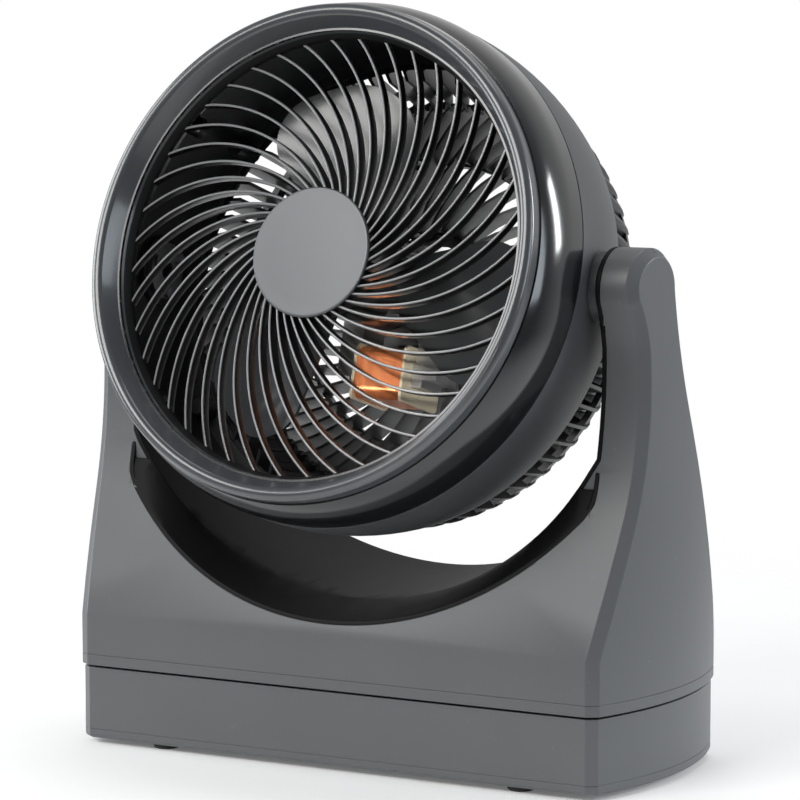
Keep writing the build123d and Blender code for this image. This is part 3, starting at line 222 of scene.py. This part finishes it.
table_finish = Finish("pale_table", Roughness=0.8, Emission_Strength=0.12,
                      Emission_Color=(1, 1, 1))
table_finish.set("Base Color", table_finish.blend(table_finish.noise(9.0), (0.90, 0.90, 0.90),
                                                  (0.93, 0.93, 0.93)))
table_place = table_finish.add("ShaderNodeTexCoord")["Object"]
table_reach = table_finish.add("ShaderNodeVectorMath", {"operation": "LENGTH"},
                               {0: table_place})["Value"]
fade_start, fade_end = 0.28, 0.85
table_finish.set("Alpha", table_reach.eased(fade_end, fade_start))
bpy.ops.mesh.primitive_circle_add(vertices=96, radius=1.0, fill_type="NGON")
table = bpy.context.object
table.name = "table"
table.data.materials.append(table_finish.material)


# ---------------------------------------------------------------- base
# The base is a shallow box of charcoal plastic with a screwed bottom plate on four rubber
# feet. It is injection moulded with a very fine eroded grain, and lightly rubbed in streaks.
def moulded(name, colour, roughness, grain=0.12, cloud=0.06, coat=0.0, shine=0.5):
    """Moulded plastic: fine grain, a cloudy sheen, a few specks and rubbed streaks."""
    finish = Finish(name, Coat_Weight=coat, Coat_Roughness=0.12, Specular_IOR_Level=shine)
    clouds = finish.noise(16.0, 3.0)
    fine = finish.noise(1500.0, 1.0)
    specks = finish.noise(310.0, 1.0).eased(0.76, 0.79)
    streaks = finish.noise(42.0, 4.0, stretch=(1.0, 1.0, 0.22), rough=0.65).eased(0.66, 0.80)
    dark = tuple(c * 0.93 for c in colour)
    light = tuple(min(1, c * 1.07) for c in colour)
    rubbed = tuple(min(1, c * 1.35 + 0.002) for c in colour)
    body = finish.blend(clouds, dark, light)
    body = finish.blend(streaks * 0.35, body, rubbed)
    finish.set("Base Color", finish.blend(specks * 0.5, body, rubbed))
    finish.set("Roughness", roughness + (clouds - 0.5) * cloud - streaks * 0.05)
    soft = finish.bump(clouds, 0.25, 0.0006)
    finish.set("Normal", finish.bump(fine, grain, 0.00012, soft))
    return finish.material


def placed(name, mesh, material, body, *nodes, slot=None):
    """Put a finished mesh in the scene as a piece that rides on a body and stands for nodes."""
    piece = bpy.data.objects.new(name, mesh)
    bpy.context.scene.collection.objects.link(piece)
    if material:
        mesh.materials.clear()
        mesh.materials.append(material)
    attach(piece, body)
    if nodes:
        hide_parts(*nodes)
    return piece


def baked(piece):
    """The mesh of a piece with its modifiers taken in."""
    bpy.context.view_layer.update()
    seen_piece = piece.evaluated_get(bpy.context.evaluated_depsgraph_get())
    mesh = bpy.data.meshes.new_from_object(seen_piece)
    mesh.name = piece.name
    bpy.data.objects.remove(piece)
    return mesh


def eased_copy(node, material, edge=0.0003, steps=2, angle=32):
    """Stand-in for a moulded node with its sharp edges eased to a small radius."""
    mesh = bpy.data.meshes.new(node + "_eased")
    shape = bmesh.new()
    shape.from_mesh(parts[node].data)
    weld_gap, flat_angle, most_corners = 2e-6, math.radians(0.4), 12
    bmesh.ops.remove_doubles(shape, verts=shape.verts, dist=weld_gap)
    bmesh.ops.dissolve_limit(shape, angle_limit=flat_angle, verts=shape.verts,
                             edges=shape.edges)
    # A flat face with many corners could close over its holes when its edges are eased.
    bmesh.ops.triangulate(shape, faces=[face for face in shape.faces
                                        if len(face.verts) > most_corners])
    for face in shape.faces:
        face.smooth = True
    shape.to_mesh(mesh)
    shape.free()
    piece = bpy.data.objects.new(node + "_eased", mesh)
    bpy.context.scene.collection.objects.link(piece)
    if edge:
        ease = piece.modifiers.new("eased_edges", "BEVEL")
        ease.width = edge
        ease.segments = steps
        ease.limit_method = "ANGLE"
        ease.angle_limit = math.radians(angle)
        ease.use_clamp_overlap = False
        flat = piece.modifiers.new("flat_faces", "WEIGHTED_NORMAL")
        flat.keep_sharp = True
    else:
        mesh.set_sharp_from_angle(angle=math.radians(angle))
    slots = {s["node"]: s["material_slot"] for s in frame["record"]["subparts"]}
    bodies = frame["record"]["behaviour"]["bodies"]
    body = next(name for name, members in bodies.items() if node in members)
    return placed(node + "_eased", baked(piece), material, body, node, slot=slots[node])


charcoal = moulded("charcoal_plastic", (0.098, 0.102, 0.108), 0.42)
for node in ("base_plate", "base_housing", "stand_tray"):
    eased_copy(node, charcoal, 0.00035)
soft_rubber = moulded("soft_rubber", (0.022, 0.022, 0.023), 0.72, grain=0.3)
for node in ("rubber_feet", "cord_grommet"):
    eased_copy(node, soft_rubber, 0.0004)

# ---------------------------------------------------------------- stand
# The stand is a front shell with the two arms, a rear cover and a black U-shaped liner that
# trims the opening between them. All are moulded, the liner smoother than the shells.
for node in ("stand_front", "stand_rear"):
    eased_copy(node, charcoal, 0.0005, 3)
liner_black = moulded("liner_black", (0.0045, 0.0045, 0.0047), 0.5, grain=0.08, shine=0.12)
eased_copy("stand_liner", liner_black, 0.0004)

# ---------------------------------------------------------------- drum
# The head is a drum of two moulded halves about a tilted axis: a polished front shell and a
# satin rear half, screwed together at four inner lugs.
tilt = math.radians(15.7)
forward = Vector((0, -math.cos(tilt), math.sin(tilt)))
upward = Vector((0, math.sin(tilt), math.cos(tilt)))
rightward = Vector((1, 0, 0))
pivot, nose_reach = Vector((0, -0.0245, 0.252)), 0.0628
nose = pivot + forward * nose_reach
drum_place = Matrix((rightward, upward, forward)).transposed().to_4x4()
drum_place.translation = nose


def on_drum(radius, angle, depth):
    """Point of the head from its polar place and its depth behind the hub cap, in mm."""
    around = rightward * math.cos(angle) + upward * math.sin(angle)
    return nose + around * (radius / 1000) - forward * (depth / 1000)


def arc(centre, radius, start, end, steps):
    """Points of an arc in an outline, angles in degrees."""
    return [(centre[0] + radius * math.cos(math.radians(start + (end - start) * i / steps)),
             centre[1] + radius * math.sin(math.radians(start + (end - start) * i / steps)))
            for i in range(steps + 1)]


def turned(name, outline, steps=240, angle=32):
    """Closed outline of radius and depth turned about the drum's axis."""
    shape = bmesh.new()
    rings = [[shape.verts.new(on_drum(r, 2 * math.pi * i / steps, k)) for i in range(steps)]
             for r, k in outline]
    for first, second in zip(rings, rings[1:] + rings[:1]):
        for i in range(steps):
            j = (i + 1) % steps
            face = shape.faces.new((first[i], first[j], second[j], second[i]))
            face.smooth = True
    bmesh.ops.recalc_face_normals(shape, faces=shape.faces)
    mesh = bpy.data.meshes.new(name)
    shape.to_mesh(mesh)
    shape.free()
    mesh.set_sharp_from_angle(angle=math.radians(angle))
    return mesh


polished = moulded("polished_black", (0.010, 0.0108, 0.0125), 0.16, grain=0.01, cloud=0.03,
                   coat=0.6)
lip, crown = (129.0, 2.6), (135.2, 24.0)
shell_mesh = turned("front_shell_dressed", [
    (116.0, 2.6), (128.4, 2.6), lip, (130.6, 5.2), (132.1, 8.4), (133.3, 12.0), (134.3, 16.0),
    (134.9, 20.0), crown, (135.2, 35.6), (134.8, 36.15), (132.8, 36.2), (132.8, 39.2),
    (131.2, 39.2), (131.2, 24.0), (130.4, 16.0), (128.6, 8.4), (126.8, 5.6), (116.0, 5.6)])
shape = bmesh.new()
shape.from_mesh(shell_mesh)
lug_circle, lug_middle, lug_radius, lug_length = 128.6, 28.2, 0.0055, 0.016
for degrees in (35, 145, 215, 325):
    lug_place = drum_place.copy()
    lug_place.translation = on_drum(lug_circle, math.radians(degrees), lug_middle)
    bmesh.ops.create_cone(shape, segments=32, radius1=lug_radius, radius2=lug_radius,
                          depth=lug_length, cap_ends=True, matrix=lug_place)
shape.to_mesh(shell_mesh)
shape.free()
placed("front_shell_dressed", shell_mesh, polished, "head", "front_shell", slot="shell_plastic")
satin = moulded("satin_grey", (0.062, 0.065, 0.069), 0.42, grain=0.1)
eased_copy("mid_shell", satin, 0.0003)

# ---------------------------------------------------------------- front grille
# One moulding holds the bezel ring, the curved bars and the ring round the hub. The ring is
# glossy outside and dull black in its bore. The bars are thin deep blades whose rounded front
# edges catch the light, and those front edges are also coloured paler as a painted highlight.
crest, crest_round, bore_reach = (124.5, -3.3), 3.7, 0.1145
ring_mesh = turned("bezel_ring", [
    (113.3, 12.0), (113.3, 9.8), (113.5, 9.1), (115.3, 5.8), (118.0, 0.9),
    *arc(crest, crest_round, 208.8, 360, 24), (128.2, 2.1), (127.7, 2.6), (126.0, 2.6),
    (126.0, -3.0), (124.5, -4.8), (122.9, -4.1), (115.8, 9.4), (115.5, 12.0)], angle=40)
bore_black = moulded("bore_black", (0.008, 0.008, 0.0085), 0.5, shine=0.3)
ring_gloss = moulded("ring_gloss", (0.060, 0.064, 0.071), 0.30, grain=0.01, cloud=0.03,
                     coat=0.7)
placed("bezel_ring", ring_mesh, ring_gloss, "head", "front_grille", slot="grille_plastic")
ring_mesh.materials.append(bore_black)
for face in ring_mesh.polygons:
    from_axis = drum_place.inverted() @ face.center
    face.material_index = int(from_axis.xy.length < bore_reach)
placed("hub_ring", turned("hub_ring", [(31.1, 1.6), (33.4, 1.6), (33.4, 12.0), (31.1, 12.0)]),
       bore_black, "head", slot="grille_plastic")


class Recipe(Graph):
    """Geometry nodes with named sizes that end in one mesh with one finish."""

    def __init__(self, name, **sizes):
        super().__init__(bpy.data.node_groups.new(name, "GeometryNodeTree"))
        self.name = name
        self.sizes = sizes
        face = self.nodes.interface
        face.new_socket("Geometry", in_out="OUTPUT", socket_type="NodeSocketGeometry")
        kinds = {int: "NodeSocketInt", tuple: "NodeSocketVector", float: "NodeSocketFloat"}
        self.sockets = {size: face.new_socket(size, in_out="INPUT",
                                              socket_type=kinds[type(value)]).identifier
                        for size, value in sizes.items()}
        self.inputs = self.add("NodeGroupInput")

    def __getitem__(self, size):
        return self.inputs[size]

    def vector(self, x, y, z):
        return self.add("ShaderNodeCombineXYZ", None, {"X": x, "Y": y, "Z": z})["Vector"]

    def ring(self, shape, count, start=0.0):
        """Copies of a shape turned about the Z axis."""
        points = self.add("GeometryNodePoints", None, {"Count": count})["Geometry"]
        turn = self.add("GeometryNodeInputIndex")["Index"] * (2 * math.pi) / count + start
        copies = self.add("GeometryNodeInstanceOnPoints", None,
                          {"Points": points, "Instance": shape,
                           "Rotation": self.vector(0.0, 0.0, turn)})["Instances"]
        return copies

    def grown(self, shape, material):
        """Mesh of the shape, made on the drum's axis and set in its place."""
        real = self.add("GeometryNodeRealizeInstances", None, {"Geometry": shape})["Geometry"]
        done = self.add("GeometryNodeSetMaterial", None,
                        {"Geometry": real, "Material": material})["Geometry"]
        self.add("NodeGroupOutput", None, {"Geometry": done})
        holder = bpy.data.objects.new(self.name, bpy.data.meshes.new(self.name))
        bpy.context.scene.collection.objects.link(holder)
        growth = holder.modifiers.new(self.name, "NODES")
        growth.node_group = self.nodes
        for size, value in self.sizes.items():
            growth[self.sockets[size]] = value
        mesh = baked(holder)
        mesh.transform(drum_place)
        return mesh


def polar(radius, degrees):
    """Place in millimetres on a flat disc, as a point in metres."""
    return (radius / 1000 * math.cos(math.radians(degrees)),
            radius / 1000 * math.sin(math.radians(degrees)), 0.0)


# The bars are black with a painted highlight: the rounded front edges are coloured paler, fading
# back to black by 0.6 mm behind the front, with noise varying the highlight's strength.
bar_finish = Finish("bar_plastic", Coat_Weight=0.5, Coat_Roughness=0.1)
bar_front = bar_finish.add("ShaderNodeAttribute", {"attribute_name": "bar_front"})["Fac"]
edge_highlight_tone = bar_finish.noise(60.0, 3.0)
highlight_full_depth, highlight_end_depth = 0.0001, 0.0006
painted_edge_highlight = bar_front.eased(highlight_end_depth, highlight_full_depth)
bar_finish.set("Base Color", bar_finish.blend(painted_edge_highlight * (edge_highlight_tone * 0.3 + 0.75),
                                              (0.007, 0.007, 0.0075), (0.24, 0.245, 0.255)))
bar_finish.set("Roughness", 0.30 - painted_edge_highlight * 0.06)

bars = Recipe("grille_bars", Count=44, Phase=math.radians(2.6), Width=0.0014, Depth=0.008,
              Hub_point=polar(31.5, -1.0), Mid_point=polar(71.3, 29.8),
              Rim_point=polar(114.4, 52.7), Hub_reach=0.0315, Rim_reach=0.1144,
              Hub_front=0.0020, Rim_front=0.0102, Rim_share=0.64)
line = bars.add("GeometryNodeCurveArc", {"mode": "POINTS"},
                {"Resolution": 40, "Start": bars["Hub_point"], "Middle": bars["Mid_point"],
                 "End": bars["Rim_point"]})["Curve"]
line = bars.add("GeometryNodeSetCurveNormal", {"mode": "Z_UP"}, {"Curve": line})["Curve"]
section = bars.add("GeometryNodeCurvePrimitiveQuadrilateral", {"mode": "RECTANGLE"},
                   {"Width": bars["Width"], "Height": bars["Depth"]})["Curve"]
section = bars.add("GeometryNodeFilletCurve", {"mode": "POLY"},
                   {"Curve": section, "Count": 4, "Radius": bars["Width"] * 0.46})["Curve"]
across = bars.add("ShaderNodeSeparateXYZ", None,
                  {"Vector": bars.add("GeometryNodeInputPosition")["Position"]})["Y"]
section = bars.add("GeometryNodeStoreNamedAttribute", {"data_type": "FLOAT", "domain": "POINT"},
                   {"Geometry": section, "Name": "bar_front",
                    "Value": bars["Depth"] * 0.5 - across})["Geometry"]
bar = bars.add("GeometryNodeCurveToMesh", None,
               {"Curve": line, "Profile Curve": section, "Fill Caps": True})["Mesh"]
place = bars.add("GeometryNodeInputPosition")["Position"]
flat = bars.add("ShaderNodeSeparateXYZ", None, {"Vector": place})
reach = bars.add("ShaderNodeVectorMath", {"operation": "LENGTH"},
                 {0: bars.vector(flat["X"], flat["Y"], 0.0)})["Value"]
share = bars.add("ShaderNodeMapRange", None,
                 {"Value": reach, "From Min": bars["Hub_reach"],
                  "From Max": bars["Rim_reach"]})["Result"]
sunk = bars["Hub_front"] + share * (bars["Rim_front"] - bars["Hub_front"])
front = bars.add("GeometryNodeInputNamedAttribute", {"data_type": "FLOAT"},
                 {"Name": "bar_front"})["Attribute"]
sunk = sunk + front * (1.0 - share * (1.0 - bars["Rim_share"]))
bar = bars.add("GeometryNodeSetPosition", None,
               {"Geometry": bar,
                "Position": bars.vector(flat["X"], flat["Y"], 0.0 - sunk)})["Geometry"]
bar = bars.add("GeometryNodeSetShadeSmooth", None, {"Geometry": bar})["Geometry"]
bar_mesh = bars.grown(bars.ring(bar, bars["Count"], bars["Phase"]), bar_finish.material)
placed("grille_bars", bar_mesh, None, "head", slot="grille_plastic")

# The hub cap is a thin pressed disc, lacquered satin grey, snapped into the ring of the hub.
cap_finish = Finish("cap_lacquer", Metallic=0.55, Coat_Weight=0.15, Coat_Roughness=0.3)
cap_clouds = cap_finish.noise(22.0, 3.0)
cap_fine = cap_finish.noise(900.0, 1.0)
cap_finish.set("Base Color", cap_finish.blend(cap_clouds, (0.095, 0.10, 0.106),
                                              (0.115, 0.12, 0.127)))
cap_finish.set("Roughness", 0.40 + (cap_clouds - 0.5) * 0.08)
cap_finish.set("Normal", cap_finish.bump(cap_fine, 0.12, 0.0001))
placed("hub_cap_dressed", turned("hub_cap_dressed", [
    (0.0, 0.0), (14.0, 0.05), (26.0, 0.15), (32.3, 0.25), *arc((32.7, 1.2), 1.0, 270, 345, 5)[1:],
    (33.7, 1.6), (31.0, 1.6), (31.0, 5.6), (29.3, 5.6), (29.3, 1.7), (0.0, 1.7)]),
    cap_finish.material, "head", "hub_cap", slot="cap_plastic")

# ---------------------------------------------------------------- rear grille
# The rear grille is one satin moulding of seventy deep vanes that run back over the drum's
# edge and swirl in towards a plate, which carries the motor and the knob. A flange and two
# bands tie the vanes.
rear_black = moulded("rear_black", (0.035, 0.036, 0.038), 0.38)
vane_count, vane_half, side_height, middle_height = 70, 0.95, 16.0, 15.0
vane_side = [(128.2, 88.2, 0.0), (127.6, 93.0, 0.0), (126.6, 100.0, 0.0), (125.2, 108.0, 0.0),
             (123.6, 116.0, 0.0), (121.4, 124.0, 0.0), (119.0, 130.0, 0.5), (116.0, 133.6, 1.2),
             (112.0, 135.8, 2.6), (104.0, 136.0, 5.4), (96.0, 136.0, 8.2), (87.0, 136.0, 11.4),
             (78.0, 136.0, 14.8)]
bend_radius, back_depth, bend_swirl = vane_side[-1]
swirl_rate = 0.46
vane_middle = [(r, back_depth, bend_swirl + (bend_radius - r) * swirl_rate)
               for r in (bend_radius, 70.0, 62.0, 54.0, 46.0, 39.0)]


def vane_points(stops, height):
    """Outer edge of one vane and its inner edge, drawn in square to the drum's outline."""
    side_lean, back_lean, back_start = 0.21, 0.08, 132.0
    points = []
    for i, (r, k, swirl) in enumerate(stops):
        before, after = stops[max(i - 1, 0)], stops[min(i + 1, len(stops) - 1)]
        along = Vector((after[0] - before[0], after[1] - before[1])).normalized()
        into = Vector((-along.y, along.x)) * height
        lean = side_lean if k < back_start else back_lean
        points.append(((r, k, swirl), (r + into.x, k + into.y, swirl - lean * height)))
    return points


def add_vanes(shape, stops, height, count):
    """Thin plates along the stops, turned about the axis."""
    edges = vane_points(stops, height)
    for n in range(count):
        rows = []
        for outer, inner in edges:
            row = []
            for (r, k, swirl), side in ((outer, -1), (outer, 1), (inner, 1), (inner, -1)):
                half_turn = math.atan2(vane_half, r) * side
                row.append(shape.verts.new(on_drum(
                    r, 2 * math.pi * n / count + math.radians(swirl) + half_turn, k)))
            rows.append(row)
        for first, second in zip(rows, rows[1:]):
            for i in range(4):
                j = (i + 1) % 4
                shape.faces.new((first[i], first[j], second[j], second[i]))
        shape.faces.new(rows[0])
        shape.faces.new(rows[-1])


shape = bmesh.new()
add_vanes(shape, vane_side, side_height, vane_count)
add_vanes(shape, vane_middle, middle_height, vane_count // 2)
bmesh.ops.recalc_face_normals(shape, faces=shape.faces)
vane_mesh = bpy.data.meshes.new("rear_vanes")
shape.to_mesh(vane_mesh)
shape.free()
placed("rear_vanes", vane_mesh, rear_black, "head", "rear_grille", slot="grille_plastic")
rear_rings = {
    "rear_flange": [(119.4, 88.0), (129.0, 88.0), (129.0, 90.4), (119.4, 90.4)],
    "rear_corner_band": [(120.6, 122.0), (117.0, 122.0), (115.8, 127.0), (119.4, 127.0)],
    "rear_middle_band": [(76.8, 130.0), (79.2, 130.0), (79.2, 136.0), (76.8, 136.0)],
    "rear_disc": [(4.2, 133.6), (37.6, 133.6), (37.6, 130.0), (40.0, 130.0), (40.0, 135.4),
                  (39.4, 136.0), (4.2, 136.0)]}
for name, outline in rear_rings.items():
    placed(name, turned(name, outline, 180), rear_black, "head", slot="grille_plastic")

# ---------------------------------------------------------------- impeller
# Three broad blades and a spinner moulded together in smoke grey plastic. Each blade is a
# screw surface with rounded corners, pitched to push the air forward.
smoke = moulded("smoke_plastic", (0.055, 0.058, 0.063), 0.22, grain=0.02, coat=0.4)
eased_copy("impeller", smoke, 0.0)
eased_copy("impeller_nut", smoke, 0.0002)

# ---------------------------------------------------------------- motor
# A shaded-pole motor: a stack of steel sheets, a coil of enamelled copper on a cream bobbin,
# two pressed brackets with bronze bearings and two long bolts.
steel = Finish("plated_steel", Metallic=0.9)
steel_clouds = steel.noise(60.0, 4.0)
steel.set("Base Color", steel.blend(steel_clouds, (0.42, 0.42, 0.43), (0.56, 0.56, 0.57)))
steel.set("Roughness", steel_clouds * 0.18 + 0.26)
steel.set("Normal", steel.bump(steel.noise(900.0, 1.0), 0.1, 0.0001))
enamel = Finish("enamelled_copper", Metallic=0.55, Roughness=0.32)
wire_place = enamel.add("ShaderNodeTexCoord")["Object"]
wire_x = enamel.add("ShaderNodeSeparateXYZ", None, {"Vector": wire_place})["X"]
wire_radius, wire_gain, wire_strength, wire_height = 0.00035, 2800, 0.7, 0.0003
wire = enamel.add("ShaderNodeMath", {"operation": "PINGPONG"},
                  {0: wire_x, 1: wire_radius})["Value"]
enamel_tone = enamel.noise(240.0, 3.0, stretch=(1, 0.1, 0.1))
enamel.set("Base Color", enamel.blend(enamel_tone, (0.55, 0.11, 0.03), (0.90, 0.36, 0.15)))
enamel.set("Normal", enamel.bump(wire * wire_gain, wire_strength, wire_height))
bronze = Finish("sintered_bronze", Metallic=0.9, Roughness=0.45)
bronze.set("Base Color", bronze.blend(bronze.noise(900.0), (0.30, 0.19, 0.08),
                                      (0.46, 0.31, 0.14)))
nylon = moulded("cream_nylon", (0.66, 0.60, 0.46), 0.45)
acetal = moulded("white_acetal", (0.75, 0.75, 0.73), 0.4)
plain_black = moulded("plain_black", (0.02, 0.02, 0.021), 0.45)
plain_finishes = {
    steel.material: (
        "stator_core", "rotor_core", "front_bracket", "rear_bracket", "motor_bolts",
        "motor_shaft", "switch_spindle", "trunnions", "trunnion_screws", "trunnion_clips",
        "plate_screws", "swing_motor", "swing_motor_screws", "swivel_retainer",
        "retainer_screws", "swing_shaft", "tray_screws", "cover_screws", "grille_screws",
        "shell_screws", "rear_grille_screws"),
    enamel.material: ("motor_coil",),
    bronze.material: ("shaft_bearings",),
    nylon: ("coil_bobbin",),
    acetal: ("friction_washers", "pivot_bushes", "glide_pads"),
    plain_black: ("speed_switch", "speed_knob", "swing_switch", "swing_crank", "swing_rocker")}
for material, nodes in plain_finishes.items():
    for node in nodes:
        parts[node].data.materials.clear()
        parts[node].data.materials.append(material)
